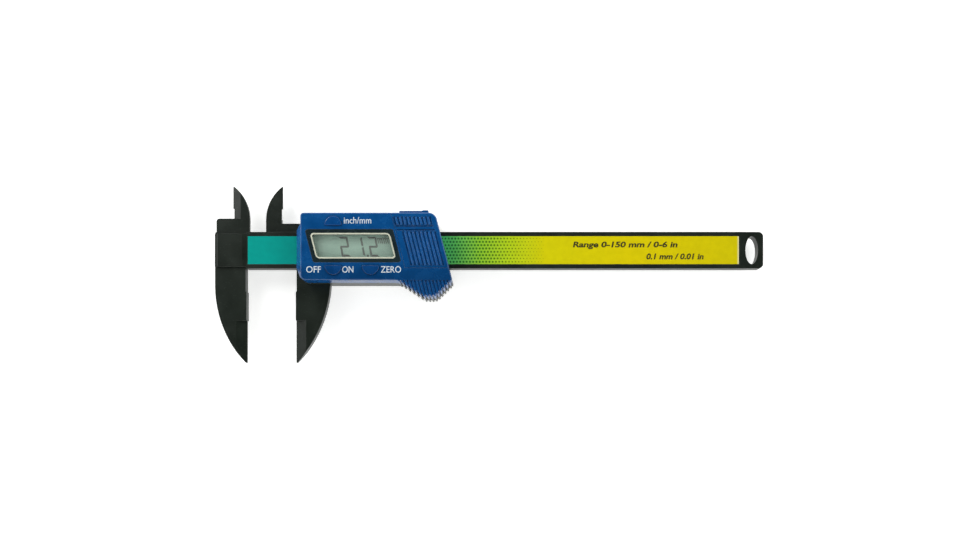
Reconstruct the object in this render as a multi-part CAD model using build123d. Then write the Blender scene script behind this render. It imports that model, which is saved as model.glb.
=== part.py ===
from build123d import *
import os
from math import radians, tan

# Digital caliper with a moulded composite body, drawn at a reading of 21.2 mm.
# Millimetres. X runs along the beam away from the jaws, Y from the outer jaw
# tips towards the inside jaw tips, Z from the back cover (0) up to the display.
# The origin is below the middle of the whole caliper.

# Beam and jaws
beam_length = 235.8
beam_height = 15.7
beam_thickness = 4.0
beam_corner = 2.0
outer_jaw_reach = 40.45  # beam's lower edge to the outer jaw tips
inner_jaw_reach = 19.95  # beam's upper edge to the inside jaw tips
measuring_face_inset = 13.5  # beam's left end to the fixed measuring face
inner_edge_inset = 7.5  # beam's left end to the fixed inside measuring edge
rest_reading = 21.2
closed_gap = 0.02  # light gap left between the faces at zero
outer_jaw_thickness = 3.5
moving_jaw_root = 14.8
moving_jaw_lean = 5.0  # degrees
jaw_back_start = 7.4  # below the beam, where the back of the jaw starts to curve
jaw_relief = 0.35
jaw_relief_length = 9.9
outer_tip_width = 0.6
knife_length = 18.15
knife_width = 4.5
knife_edge_thickness = 0.9
inner_jaw_root = 7.3
inner_jaw_straight = 5.7
inner_jaw_front_drop = 0.6
inner_jaw_split = 0.16  # gap between the two inside jaws, which pass each other
inner_jaw_relief = 0.5
inner_jaw_relief_height = 10.4
inner_tip_width = 0.35
inner_bevel_width = 3.4
inner_edge_thickness = 0.5
jaw_root_lap = 1.0  # how far a jaw's outline runs into the beam or the frame
head_block_height = 5.9
head_block_radius = 1.3
head_block_inset = 0.5
head_block_lap = 2.0  # how far the head block runs down into the beam
head_inset = 0.8
head_rise = 0.4
head_slope = 1.7
inside_neck_height = 4.1

# Hanging hole
hang_hole_width = 5.4
hang_hole_height = 11.9
hang_hole_inset = 4.9

# Scale, set in a groove of the beam
scale_start = 0.6  # right of the fixed measuring face
scale_end_margin = 10.4
scale_edge_margin = 1.8
scale_board_thickness = 0.8
scale_label_thickness = 0.15
scale_clearance = 0.05
back_recess_depth = 0.4
back_recess_margin = 2.6
back_recess_end = 6.8  # solid length left behind the hanging hole
back_recess_corner = 1.0

# Slider, in outline
back_thickness = 2.0
beam_standoff = 0.7
frame_gap = 0.2
frame_plate = 1.1
housing_depth = 7.0
slide_fit = 0.06
slider_face_inset = 3.85  # moving measuring face to the left end of the shell
slider_length = 63.95  # along the lower edge
slider_above = 6.2
slider_below = 6.5
slant = tan(radians(14.3))  # lean of the right end, the display and the ribs
lobe_depth = 6.9
lobe_left_run = 22.9
lobe_left_flat = 12.2
lobe_right_flat = 7.1
shell_radii = [1.3, 2.2, 7.0, 2.5, 3.0, 2.0, 3.5]  # from the top left corner, towards the jaw tips first
hood_reach = 2.85  # of the shell, in front of the beam
frame_hood_reach = 2.2
hood_low_depth = 6.0
hood_below = 5.6
hood_below_taper = 5.3
hood_above = 1.7
hood_above_taper = 1.6
hood_corner = 0.8
jaw_root_drop = 1.5  # the moving jaw's back leaves the frame this far below the shell
shell_wall = 1.2
shell_front = 1.4
shell_rounding = 0.7

# Ribs and serrations
rib_pitch = 1.68
rib_groove = 0.8
rib_depth = 0.35
rib_end_radius = 0.3
rib_start = 44.7  # shell's left end to the first groove, at the middle of the beam
rib_count = 9
rib_low = -0.4  # from the beam's lower edge
rib_high = -1.8  # from the beam's upper edge
top_rib_start = 42.45
top_rib_count = 10
top_rib_low = 0.9
top_rib_high = 4.4
cross_groove = 0.5
cross_groove_length = 15.8
cross_groove_places = (-1.15, 0.45)  # from the beam's upper edge
lobe_rib_start = 23.5  # first lobe groove to the shell's right end
lobe_rib_pitch = 1.53
lobe_rib_count = 16
serration_depth = 0.7

# Display
display_centre = 22.25  # right of the shell's left end
view_width = 32.3
view_height = 9.5
bezel_side = 2.35
bezel_edge = 2.2
bezel_flange = 0.45
bezel_radius = 1.0
bezel_fit = 0.05
window_lap = 0.8
window_thickness = 0.8
window_depth = 1.0
flange_thickness = 0.6
panel_side = 1.75  # glass hidden beside the view
panel_edge = 1.2  # glass hidden above and below it
panel_thickness = 1.5
zebra_width = 2.0
zebra_inset = 0.9
zebra_margin = 0.3
zebra_short = 7.8  # the strip is this much shorter than the glass

# Electronics
board_gap = 0.5  # beam face to the sensor side of the board
board_thickness = 1.0
board_length = 32.6
board_inset = 0.8  # inside the shell's wall
board_overhang = 4.6
board_fit = 0.1
chip_size = 9.0
chip_thickness = 1.2
chip_chamfer = 0.2
chip_offset = (-1.0, 1.0)  # from the middle of the display
dome_radius = 2.4
dome_height = 0.5
dome_sheet = 0.15

# Buttons
button_width = 7.2
button_height = 3.9
button_proud = 0.5
button_travel = 0.6
button_fit = 0.12
button_ear = 1.0
button_ear_height = 1.8
button_ear_thickness = 0.6
button_stem_radius = 1.2
button_stem_share = 0.42  # of the cap's height, from its flat side
button_stem_gap = 0.05
button_corner = 0.5
button_rounding = 0.25
button_well = 3.0  # the openings are cut down to this height above the frame
# right of the shell's left end, above the middle of the beam, and the way that the cap bulges
button_places = {
    "unit_button": (13.95, 8.55, 1),
    "power_button": (13.95, -8.3, -1),
    "zero_button": (29.65, -8.3, -1),
}

# Battery and its cover
cell_radius = 5.8
cell_height = 5.4
cell_lip = 0.9
cell_lip_inset = 1.1
cell_rounding = 0.5
cell_fit = 0.3
cell_centre = 50.95  # right of the shell's left end
cell_wall = 1.2
contact_width = 3.0
contact_sheet = 0.2
contact_fit = 0.3
contact_lap = 2.6  # how far the strips reach over the board
plus_leaf_height = 4.5
plus_leaf_reach = 6.0
plus_foot_width = 1.8
plus_foot_lap = 0.6
cover_start = 41.75  # cover's left edge at the middle of the beam
cover_bottom = 9.15  # below the middle of the beam
cover_thickness = 1.05
cover_fit = 0.1
cover_lip = 1.2
cover_lip_gap = 1.0  # left between the lip's lower end and the frame
cover_tongue = 0.5
cover_tongue_tuck = 0.6
catch_length = 5.6
catch_flat = 2.2
catch_height = 1.4
catch_inset = 3.0  # from the shell's upper right corner
catch_sink = 0.5
catch_start = 1.5  # above the frame
catch_depth = 1.0  # behind the cover's back
strip_depth = 1.4
strip_length = 10.1
strip_height = 1.25

# Screws and spring
screw_radius = 0.8
screw_head_radius = 1.4
screw_head_height = 1.0
screw_slot = 0.35
cover_screw_sink = 0.2  # the heads lie this far inside the back
cover_screw_fit = 0.1
housing_screw_length = 8.0
cover_screw_length = 4.0
board_screw_length = 2.4
boss_wall = 0.9
boss_lap = 0.2  # how far a boss runs into the shell's front wall
rail_inset = 0.6
rail_width = 1.5
rail_short = 8.0
cover_chamfer = 0.5
gib_thickness = 0.3
gib_pocket = 0.9
gib_length = 50.0
gib_width = 2.6
gib_fit = 0.2
gib_end = 0.5
gib_offset = 2.5  # left of the slider's middle

# Display sizes that follow from the view
bezel_width = view_width + 2 * bezel_side
bezel_height = view_height + 2 * bezel_edge
panel_width = view_width + 2 * panel_side
panel_height = view_height + 2 * panel_edge

# Levels, from the back cover upwards
beam_back = back_thickness + beam_standoff
beam_front = beam_back + beam_thickness
beam_middle = (beam_back + beam_front) / 2
plate_back = beam_front + frame_gap
plate_front = plate_back + frame_plate
shell_top = plate_front + housing_depth
shell_inside = shell_top - shell_front
board_back = beam_front + board_gap
board_front = board_back + board_thickness
cell_back = board_front + contact_sheet
cover_back = shell_top - cover_thickness
panel_front = shell_inside - flange_thickness

# Places along X and Y
beam_left = -beam_length / 2
beam_right = beam_length / 2
beam_low = outer_jaw_reach - (outer_jaw_reach + beam_height + inner_jaw_reach) / 2
beam_high = beam_low + beam_height
beam_centre = (beam_low + beam_high) / 2
outer_tip = beam_low - outer_jaw_reach
inner_tip = beam_high + inner_jaw_reach
fixed_face = beam_left + measuring_face_inset
moving_face = fixed_face + rest_reading + closed_gap
fixed_edge = beam_left + inner_edge_inset
moving_edge = fixed_edge + rest_reading + closed_gap
shell_left = moving_face + slider_face_inset
shell_high = beam_high + slider_above
shell_low = beam_low - slider_below
shell_right_low = shell_left + slider_length
cell_x = shell_left + cell_centre
cell_y = beam_centre
display_x = shell_left + display_centre
past = 1.0  # how far a cutting tool runs past the face that it cuts

board_screw_places = [(shell_left + 4.6, beam_high + 2.6), (shell_left + 21.7, beam_low - 2.4)]
housing_screw_places = [
    (shell_left + 36.9, beam_high + 2.9),
    (shell_left + 37.8, beam_low - 3.3),
    (shell_left + 54.6, beam_low - 9.4),
]
cover_screw_places = [
    (shell_left + 3.6, beam_high + 3.2),
    (shell_left + 51.6, beam_high + 3.0),
    (shell_left + 3.6, beam_low - 3.6),
    (shell_left + 49.0, beam_low - 6.4),
]


def block(x, y, z):
    """A box from three (low, high) pairs."""
    centre = Pos(sum(x) / 2, sum(y) / 2, sum(z) / 2)
    return centre * Box(x[1] - x[0], y[1] - y[0], z[1] - z[0])


def rod(place, radius, z):
    """An upright cylinder at an (x, y) place."""
    return Pos(place[0], place[1], sum(z) / 2) * Cylinder(radius, z[1] - z[0])


def raised(face, z):
    """A flat face as a plate between two levels."""
    return Pos(0, 0, z[0]) * extrude(face, z[1] - z[0], dir=(0, 0, 1))


def rounded(points, radii, z):
    """A closed outline with a radius at each corner, as a plate."""
    return raised(make_face(FilletPolyline(*points, radius=radii, close=True)), z)


def leaning(x, y, width, height, z, radius=0.01):
    """A plate with upright ends turned to the slider's slant; x is at its middle height."""
    lean = height / 2 * slant
    points = [
        (x - width / 2 - lean, y + height / 2),
        (x - width / 2 + lean, y - height / 2),
        (x + width / 2 + lean, y - height / 2),
        (x + width / 2 - lean, y + height / 2),
    ]
    return rounded(points, radius, z)


def wedge(points, y):
    """A prism along Y from an outline in X and Z."""
    face = Plane.XZ * make_face(Polyline(*points, close=True))
    return Pos(0, y[1], 0) * extrude(face, y[1] - y[0], dir=(0, -1, 0))


def slider_face():
    """The outline that the shell, the frame and the back cover share."""
    right_high = shell_right_low - (shell_high - shell_low) * slant
    lobe_low = shell_low - lobe_depth
    lobe_left = shell_right_low - lobe_left_run
    points = [
        (shell_left, shell_high),
        (shell_left, shell_low),
        (lobe_left, shell_low),
        (shell_right_low - lobe_left_flat, lobe_low),
        (shell_right_low - lobe_right_flat, lobe_low),
        (shell_right_low, shell_low),
        (right_high, shell_high),
    ]
    return make_face(FilletPolyline(*points, radius=shell_radii, close=True))


def hood_face(reach):
    """Outline of the hood that covers the beam left of the slider, with tapered corners."""
    low = beam_low - hood_below
    high = beam_high + hood_above
    points = [
        (shell_left + past, low),
        (shell_left, low),
        (shell_left - reach, low + hood_below_taper),
        (shell_left - reach, high - hood_above_taper),
        (shell_left, high),
        (shell_left + past, high),
    ]
    radii = [0, hood_corner, hood_corner, hood_corner, hood_corner, 0]
    return make_face(FilletPolyline(*points, radius=radii, close=True))


def lobe_grooves(z):
    """Leaning slots over the thumb lobe, between two levels."""
    top = shell_low - slide_fit
    height = lobe_depth + past
    first = shell_right_low - lobe_rib_start
    slots = []
    for number in range(lobe_rib_count):
        x = first + number * lobe_rib_pitch + height / 2 * slant
        slots.append(leaning(x, top - height / 2, rib_groove, height, z))
    return slots


def serrations():
    """Notches round the edge of the thumb lobe, through the whole slider."""
    inside = raised(offset(slider_face(), -serration_depth), (-past, shell_top + past))
    return [slot - inside for slot in lobe_grooves((-past, shell_top + past))]


def outer_jaw(face, back, root_low, tangent, sign):
    """Outline of an outer jaw; sign is the side of the face that its metal is on."""
    relief = face + sign * jaw_relief
    corner = beam_low - jaw_relief_length
    tip = (face + sign * outer_tip_width, outer_tip)
    edges = Polyline(
        (back, root_low),
        (back, beam_low + jaw_root_lap),
        (relief, beam_low + jaw_root_lap),
        (relief, corner),
        (face, corner),
        (face, outer_tip),
        tip,
    )
    curve = TangentArc((back, root_low), tip, tangent=tangent)
    return make_face(edges + curve)


def knife(face, sign):
    """The two wedges that thin an outer jaw to its measuring edge near the tip."""
    inner = face + sign * knife_width
    outer = face - sign * past
    slope = (outer_jaw_thickness - knife_edge_thickness) / 2 / knife_width
    y = (outer_tip - past, outer_tip + knife_length)
    cuts = []
    for side in (1, -1):
        surface = beam_middle + side * outer_jaw_thickness / 2
        edge = surface - side * slope * (knife_width + past)
        cuts.append(wedge([(inner, surface), (outer, surface + side * past), (outer, edge)], y))
    return cuts


def inner_jaw(edge, sign):
    """Outline of an inside jaw; sign is the side of the edge that its metal is on."""
    back = edge + sign * inner_jaw_root
    relief = edge + sign * inner_jaw_relief
    relief_high = beam_high + inner_jaw_relief_height
    straight_high = beam_high + inner_jaw_straight
    tip = (edge + sign * inner_tip_width, inner_tip)
    lines = Polyline(
        (back, straight_high),
        (back, beam_high),
        (relief, beam_high),
        (relief, relief_high),
        (edge, relief_high),
        (edge, inner_tip),
        tip,
    )
    return make_face(lines + TangentArc((back, straight_high), tip, tangent=(0, 1)))


def inner_bevel(edge, sign, flat, thin):
    """The wedge that sharpens an inside jaw from its flat side's far face."""
    inner = edge + sign * inner_bevel_width
    outer = edge - sign * past
    slope = (thin - flat) * (1 + past / inner_bevel_width)
    side = 1 if flat > thin else -1
    y = (beam_high + head_block_height, inner_tip + past)
    return wedge([(inner, flat), (outer, flat + side * past), (outer, flat + slope)], y)


def make_beam():
    bar = block((fixed_face, beam_right), (beam_low, beam_high), (beam_back, beam_front))
    bar = fillet(bar.edges().filter_by(Axis.Z).group_by(Axis.X)[-1], beam_corner)
    head_low = beam_low + head_inset
    head_high = beam_high - head_inset
    head = block((beam_left, fixed_face), (head_low, head_high), (beam_back, beam_front))
    top = beam_front + head_rise
    pad_points = [
        (beam_left + head_inset, beam_front),
        (beam_left + head_inset + head_rise, top),
        (fixed_face - head_slope, top),
        (fixed_face, beam_front),
    ]
    pad = wedge(pad_points, (head_low, head_high))
    jaw_z = (beam_middle - outer_jaw_thickness / 2, beam_middle + outer_jaw_thickness / 2)
    back_start = beam_low - jaw_back_start
    jaw = raised(outer_jaw(fixed_face, beam_left, back_start, (0, -1), -1), jaw_z)
    upper_front = beam_front - inner_jaw_front_drop
    upper_z = (beam_middle + inner_jaw_split / 2, upper_front)
    inside = raised(inner_jaw(fixed_edge, 1), upper_z)
    crown_left = beam_left + head_block_inset
    crown_right = fixed_edge + inner_jaw_root - jaw_root_lap
    crown_points = [
        (crown_left, beam_high - head_block_lap),
        (crown_right, beam_high - head_block_lap),
        (crown_right, beam_high + head_block_height),
        (crown_left, beam_high + head_block_height),
    ]
    crown = rounded(crown_points, [0, 0, head_block_radius, head_block_radius], upper_z)
    web_x = (beam_left, fixed_edge + inner_jaw_root)
    web = block(web_x, (head_high, beam_high), (beam_back, upper_front))
    body = bar + head + pad + jaw + inside + crown + web
    body -= knife(fixed_face, -1)
    body -= inner_bevel(fixed_edge, 1, upper_front, upper_z[0] + inner_edge_thickness)
    body -= raised(scale_face(0), (beam_front - scale_depth(), beam_front + past))
    body -= hang_hole()
    recess_x = (fixed_face + back_recess_margin, beam_right - back_recess_end)
    recess_y = (beam_low + back_recess_margin, beam_high - back_recess_margin)
    recess = block(recess_x, recess_y, (beam_back - past, beam_back + back_recess_depth))
    return body - fillet(recess.edges().filter_by(Axis.Z), back_recess_corner)


def hang_hole():
    centre = Pos(beam_right - hang_hole_inset, beam_centre, beam_middle)
    hole = extrude(Ellipse(hang_hole_width / 2, hang_hole_height / 2), beam_thickness, both=True)
    return centre * hole


def scale_depth():
    return scale_board_thickness + scale_label_thickness


def scale_face(clearance):
    """The long rectangle that the scale fills, less a clearance all round."""
    left = fixed_face + scale_start + clearance
    right = beam_right - scale_end_margin - clearance
    height = beam_height - 2 * (scale_edge_margin + clearance)
    return Pos((left + right) / 2, beam_centre) * Rectangle(right - left, height)


def make_scale_board():
    bottom = beam_front - scale_depth()
    return raised(scale_face(scale_clearance), (bottom, bottom + scale_board_thickness))


def make_scale_label():
    return raised(scale_face(scale_clearance), (beam_front - scale_label_thickness, beam_front))


def screw(place, head_z, length, up):
    """A pan head screw; up is the way its point goes."""
    head_high = head_z + up * screw_head_height
    tip = head_high + up * length
    head = rod(place, screw_head_radius, sorted((head_z, head_high)))
    shank = rod(place, screw_radius, sorted((head_high, tip)))
    slot_z = sorted((head_z - up * past, head_z + up * screw_head_height / 2))
    reach = screw_head_radius + past
    slot_x = (place[0] - reach, place[0] + reach)
    slot_y = (place[1] - screw_slot / 2, place[1] + screw_slot / 2)
    return head + shank - block(slot_x, slot_y, slot_z)


def cover_screw_head():
    return cover_screw_sink


def back_cover_screws():
    return [screw(place, cover_screw_head(), cover_screw_length, 1) for place in cover_screw_places]


def housing_screws():
    return [screw(place, back_thickness, housing_screw_length, 1) for place in housing_screw_places]


def board_screws():
    head_z = board_front + screw_head_height
    return [screw(place, head_z, board_screw_length, -1) for place in board_screw_places]


def board_face(clearance):
    """Outline of the circuit board, less a clearance all round."""
    left = shell_left + shell_wall + board_inset + clearance
    right = left + board_length - 2 * clearance
    low = beam_low - board_overhang + clearance
    high = beam_high + board_overhang - clearance
    return Pos((left + right) / 2, (low + high) / 2) * Rectangle(right - left, high - low)


def gib_x():
    middle = (shell_left + shell_right_low) / 2 - gib_offset
    return (middle - gib_length / 2, middle + gib_length / 2)


def make_slider_frame():
    frame_z = (back_thickness, plate_front)
    body = raised(slider_face(), frame_z)
    body += raised(hood_face(frame_hood_reach), frame_z)
    jaw_z = (beam_middle - outer_jaw_thickness / 2, beam_middle + outer_jaw_thickness / 2)
    tangent = (-tan(radians(moving_jaw_lean)), -1)
    root = moving_face + moving_jaw_root
    jaw = raised(outer_jaw(moving_face, root, shell_low - jaw_root_drop, tangent, 1), jaw_z)
    low = beam_middle - outer_jaw_thickness / 2
    upper_z = (low, beam_middle - inner_jaw_split / 2)
    inside = raised(inner_jaw(moving_edge, -1), upper_z)
    neck_x = (moving_edge - inner_jaw_root, shell_left + past)
    neck_y = (beam_high + slide_fit, beam_high + inside_neck_height)
    neck = block(neck_x, neck_y, upper_z)
    body = body + jaw + inside + neck
    body -= knife(moving_face, 1)
    body -= inner_bevel(moving_edge, -1, low, upper_z[1] - inner_edge_thickness)
    length = (moving_edge - 2 * inner_jaw_root, shell_right_low + past)
    channel_y = (beam_low - slide_fit, beam_high + slide_fit)
    body -= block(length, channel_y, (back_thickness - past, plate_back))
    board_z = (board_back, plate_front + past)
    body -= raised(offset(board_face(0), board_fit), board_z)
    window_x = (shell_left + shell_wall + 2 * board_inset, shell_left + board_length)
    body -= block(window_x, channel_y, (plate_back - past, plate_front + past))
    pocket_z = (beam_middle - gib_width / 2 - gib_fit, beam_middle + gib_width / 2 + gib_fit)
    body -= block(gib_x(), (beam_high, beam_high + gib_pocket), pocket_z)
    for place in housing_screw_places:
        body -= rod(place, screw_radius, (back_thickness, plate_front + past))
        body -= rod(place, screw_head_radius, (back_thickness - past, back_thickness + screw_head_height))
    for place in cover_screw_places:
        body -= rod(place, screw_radius, (back_thickness - past, cover_screw_tip()))
    for place in board_screw_places:
        body -= rod(place, screw_radius, (board_front - board_screw_length, board_front))
    return body - serrations()


def cover_screw_tip():
    return cover_screw_head() + screw_head_height + cover_screw_length


def make_back_cover():
    plate = raised(slider_face(), (0, back_thickness))
    plate = chamfer(plate.faces().sort_by(Axis.Z)[0].edges(), cover_chamfer)
    plate += raised(hood_face(frame_hood_reach), (cover_chamfer, back_thickness))
    rail_z = (back_thickness, beam_back - slide_fit)
    rail_x = (shell_left, shell_right_low - rail_short)
    for y in (beam_low + rail_inset, beam_high - rail_inset - rail_width):
        plate += block(rail_x, (y, y + rail_width), rail_z)
    for place in cover_screw_places:
        plate -= rod(place, screw_radius + cover_screw_fit, (-past, back_thickness + past))
        head_z = (-past, cover_screw_head() + screw_head_height)
        plate -= rod(place, screw_head_radius + cover_screw_fit, head_z)
    return plate - serrations()


def make_gib_spring():
    """A bowed strip that presses the beam down in its channel."""
    left, right = gib_x()
    middle = (left + right) / 2
    high = beam_high + gib_pocket
    low = beam_high + slide_fit
    start = left + gib_end
    end = right - gib_end
    under = high - gib_thickness
    lower = ThreePointArc((start, under), (middle, low), (end, under))
    upper = ThreePointArc((start, high), (middle, low + gib_thickness), (end, high))
    ends = [Line(lower @ 0, upper @ 0), Line(lower @ 1, upper @ 1)]
    face = make_face(lower + upper + ends[0] + ends[1])
    return raised(face, (beam_middle - gib_width / 2, beam_middle + gib_width / 2))


def cover_zone(y, z, grow):
    """Everything right of the cover's leaning left edge, between two heights and two levels."""
    height = y[1] - y[0]
    middle = (y[0] + y[1]) / 2
    left = shell_left + cover_start - (middle - beam_centre) * slant - grow
    width = slider_length
    return leaning(left + width / 2, middle, width, height, z)


def shell_blank():
    """The front shell as a solid, with its rounded front edge and the hood over the beam."""
    blank = raised(slider_face(), (plate_front, shell_top))
    blank = fillet(blank.faces().sort_by(Axis.Z)[-1].edges(), shell_rounding)
    slope = [
        (shell_left + past, plate_front),
        (shell_left - hood_reach, plate_front),
        (shell_left - hood_reach, shell_top - hood_low_depth),
        (shell_left, shell_top - shell_rounding),
        (shell_left + past, shell_top - shell_rounding),
    ]
    hood = wedge(slope, (beam_low - hood_below, beam_high + hood_above))
    return blank + (hood & raised(hood_face(hood_reach), (plate_front, shell_top)))


def cover_pieces(grow, deep):
    """The space of the battery cover's plate, its lip and its tongue, grown for its opening."""
    low = beam_centre - cover_bottom
    high = shell_high + past
    plate = cover_zone((low - grow, high), (cover_back - grow, shell_top + past), grow)
    lip_y = (shell_high - cover_lip - grow, high)
    lip = cover_zone(lip_y, (plate_front + cover_lip_gap - grow, cover_back + past), grow)
    tongue_y = (low - cover_tongue - grow, low + past)
    tongue_z = (cover_back - grow, cover_back + cover_tongue + grow)
    tongue = cover_zone(tongue_y, tongue_z, grow - deep)
    return plate + lip + tongue


def rib_slots(start, count, y_low, y_high):
    """Leaning slots that leave the ribs of the battery cover standing."""
    middle = (y_low + y_high) / 2
    height = y_high - y_low
    first = shell_left + start - (middle - beam_centre) * slant
    z = (shell_top - rib_depth, shell_top + past)
    places = [first + number * rib_pitch for number in range(count)]
    return [leaning(x, middle, rib_groove, height, z, rib_end_radius) for x in places]


def catch_and_strip():
    """The thumb catch and the low strip on the cover's top edge."""
    right = shell_right_low - (shell_high - shell_low) * slant
    end = right - catch_inset
    start = end - catch_length
    flat = end - catch_flat
    low = shell_high - catch_sink
    top = shell_high + catch_height
    points = [(start, low), (start, shell_high), (flat, top), (end, top), (end, low)]
    back = plate_front + catch_start
    catch = raised(make_face(Polyline(*points, close=True)), (back, cover_back - catch_depth))
    strip_y = (low, shell_high + strip_height)
    strip = block((flat - strip_length, flat), strip_y, (back, cover_back - strip_depth))
    return catch + strip


def make_battery_cover():
    body = shell_blank() & cover_pieces(0, cover_tongue_tuck)
    body += catch_and_strip()
    body -= rib_slots(rib_start, rib_count, beam_low + rib_low, beam_high + rib_high)
    body -= rib_slots(top_rib_start, top_rib_count, beam_high + top_rib_low, beam_high + top_rib_high)
    z = (shell_top - rib_depth, shell_top + past)
    for place in cross_groove_places:
        y = (beam_high + place - cross_groove / 2, beam_high + place + cross_groove / 2)
        left = shell_left + top_rib_start - (beam_high + place - beam_centre) * slant
        body -= block((left, left + cross_groove_length), y, z)
    return body


def make_front_housing():
    body = shell_blank() - cover_pieces(cover_fit, 0)
    hollow = raised(offset(slider_face(), -shell_wall), (plate_front - past, shell_inside))
    lid_back = cover_back - cover_fit
    shelf_y = (beam_centre - cover_bottom - shell_wall, shell_high)
    hollow -= cover_zone(shelf_y, (lid_back - shell_front, shell_top), shell_wall)
    lip_low = shell_high - cover_lip - cover_fit - shell_wall
    hollow -= cover_zone((lip_low, shell_high), (plate_front - past, shell_top), shell_wall)
    hollow += display_room()
    body -= hollow
    cell = (cell_x, cell_y)
    well = rod(cell, cell_radius + cell_fit + cell_wall, (plate_front, lid_back))
    body += well
    body -= rod(cell, cell_radius + cell_fit, (plate_front - past, shell_top))
    for slot in contact_slots():
        body -= slot
    for place in housing_screw_places:
        boss_z = (plate_front, shell_inside + boss_lap)
        body += rod(place, screw_radius + boss_wall, boss_z)
        body -= rod(place, screw_radius, (plate_front - past, housing_screw_tip()))
    grown = (bezel_width + 2 * bezel_fit, bezel_height + 2 * bezel_fit)
    body -= leaning(display_x, beam_centre, *grown, (plate_front, shell_top + past), bezel_radius)
    for name in button_places:
        body -= raised(button_face(name, button_fit), (plate_front + button_well, shell_top + past))
    z = (shell_top - rib_depth, shell_top + past)
    body -= lobe_grooves(z)
    return body - serrations()


def display_room():
    """The space behind the shell's front wall for the display's flange and glass."""
    seat = 2 * (bezel_flange + bezel_fit)
    seat_z = (plate_front - past, shell_inside)
    flange = leaning(display_x, beam_centre, bezel_width + seat, bezel_height + seat, seat_z, bezel_radius)
    half = panel_width / 2 + bezel_fit
    reach = panel_height / 2 + bezel_fit
    panel_y = (beam_centre - reach, beam_centre + reach)
    return flange + block((display_x - half, display_x + half), panel_y, (plate_front - past, panel_front))


def housing_screw_tip():
    return back_thickness + screw_head_height + housing_screw_length


def contact_slots():
    """Ways through the battery well's wall for the two contact strips."""
    left = contact_left()
    low_z = (plate_front - past, cell_back + contact_fit)
    reach = contact_width / 2 + contact_fit
    minus = block((left, cell_x), (cell_y - reach, cell_y + reach), low_z)
    wall = cell_y + cell_radius + contact_sheet
    plus_y = (wall - plus_foot_width - contact_sheet - contact_fit, wall + contact_fit)
    plus_z = (plate_front - past, cell_back + plus_leaf_height + contact_fit)
    plus = block((left, cell_x + contact_width), plus_y, plus_z)
    return [minus, plus]


def contact_left():
    return shell_left + shell_wall + board_length - contact_lap


def make_battery_contact_minus():
    y = (cell_y - contact_width / 2, cell_y + contact_width / 2)
    return block((contact_left(), cell_x + contact_width), y, (board_front, cell_back))


def make_battery_contact_plus():
    wall_y = (cell_y + cell_radius, cell_y + cell_radius + contact_sheet)
    leaf_x = (cell_x - plus_leaf_reach, cell_x + contact_width / 2)
    leaf = block(leaf_x, wall_y, (board_front, cell_back + plus_leaf_height))
    foot_x = (contact_left(), leaf_x[0] + plus_foot_lap)
    foot_y = (wall_y[0] - plus_foot_width, wall_y[1])
    foot = block(foot_x, foot_y, (board_front, cell_back))
    return leaf + foot


def make_battery():
    can = rod((cell_x, cell_y), cell_radius, (cell_back + cell_lip, cell_back + cell_height))
    can = fillet(can.edges().group_by(Axis.Z)[-1], cell_rounding)
    button = rod((cell_x, cell_y), cell_radius - cell_lip_inset, (cell_back, cell_back + cell_lip))
    return can + button


def make_main_board():
    board = raised(board_face(0), (board_back, board_front))
    for place in board_screw_places:
        board -= rod(place, screw_radius, (board_back - past, board_front + past))
    return board


def make_controller_chip():
    x = display_x + chip_offset[0]
    y = beam_centre + chip_offset[1]
    half = chip_size / 2
    z = (board_front, board_front + chip_thickness)
    chip = block((x - half, x + half), (y - half, y + half), z)
    return chamfer(chip.faces().sort_by(Axis.Z)[-1].edges(), chip_chamfer)


def make_zebra_strip():
    x = display_x - panel_width / 2 + zebra_inset
    low = beam_centre - panel_height / 2 + zebra_margin
    z = (board_front, panel_front - panel_thickness)
    return block((x, x + panel_width - zebra_short), (low, low + zebra_width), z)


def make_lcd_panel():
    half = panel_width / 2
    y = (beam_centre - panel_height / 2, beam_centre + panel_height / 2)
    return block((display_x - half, display_x + half), y, (panel_front - panel_thickness, panel_front))


def make_lcd_window():
    size = (view_width + 2 * window_lap, view_height + 2 * window_lap)
    top = shell_top - window_depth
    return leaning(display_x, beam_centre, *size, (top - window_thickness, top), bezel_radius)


def make_lcd_bezel():
    body = leaning(display_x, beam_centre, bezel_width, bezel_height, (panel_front, shell_top), bezel_radius)
    flange = (bezel_width + 2 * bezel_flange, bezel_height + 2 * bezel_flange)
    body += leaning(display_x, beam_centre, *flange, (panel_front, shell_inside), bezel_radius)
    open_z = (panel_front - past, shell_top + past)
    body -= leaning(display_x, beam_centre, view_width, view_height, open_z, bezel_radius)
    lap = window_lap + bezel_fit
    rebate = (view_width + 2 * lap, view_height + 2 * lap)
    rebate_z = (panel_front - past, shell_top - window_depth)
    return body - leaning(display_x, beam_centre, *rebate, rebate_z, bezel_radius)


def button_middle(name):
    across, up, side = button_places[name]
    return shell_left + across, beam_centre + up, side


def button_face(name, grow):
    """A D shape with its flat side towards the display."""
    x, y, side = button_middle(name)
    oval = Ellipse(button_width / 2 + grow, button_height + grow)
    keep_height = button_height + 2 * past
    keep = Rectangle(button_width + 2 * past, keep_height + 2 * grow)
    keep = Pos(0, side * keep_height / 2) * keep
    face = oval & keep
    corners = face.vertices().sort_by(Axis.Y)
    corners = corners[:2] if side > 0 else corners[-2:]
    return Pos(x, y) * fillet(corners, button_corner)


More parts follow.
